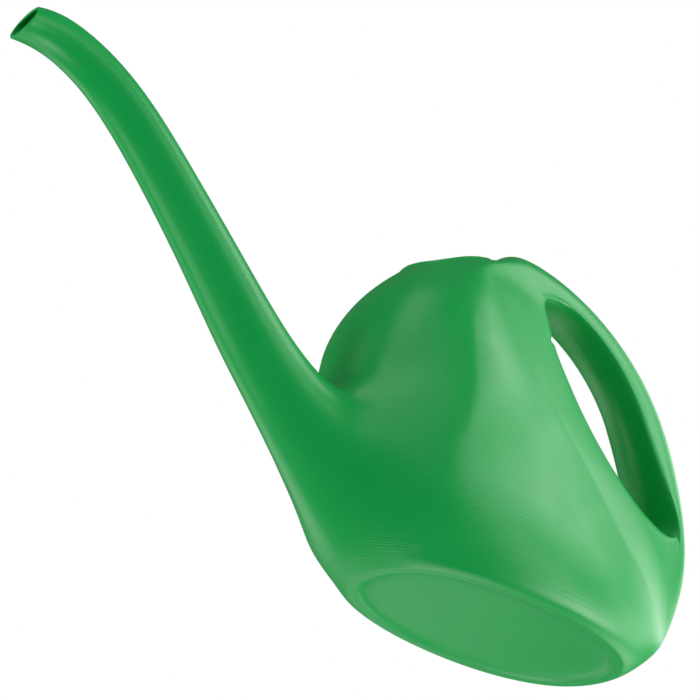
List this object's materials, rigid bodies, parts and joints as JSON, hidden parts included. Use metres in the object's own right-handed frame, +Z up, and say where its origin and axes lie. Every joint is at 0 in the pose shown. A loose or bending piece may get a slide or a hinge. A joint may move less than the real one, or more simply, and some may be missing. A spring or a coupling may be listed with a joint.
{
  "type": "watering can",
  "caption": "One-piece moulded watering can with a round-fronted body, a long curved spout, a mouth on top and a hollow handle around a finger hole.",
  "frame": {"origin": "bottom centre of the can's bounding box, in the plane it stands on", "axes": "+X from the spout towards the handle, +Y across the can, +Z up"},
  "size_m": [0.4303, 0.1058, 0.198],
  "materials": {
    "green_plastic": "satin"
  },
  "bodies": {
    "root": {"tank": "green_plastic", "handle": "green_plastic", "base_panel": "green_plastic", "foot_ring": "green_plastic", "spout": "green_plastic", "spout_lip": "green_plastic", "filler_rim": "green_plastic"}
  },
  "joints": []
}
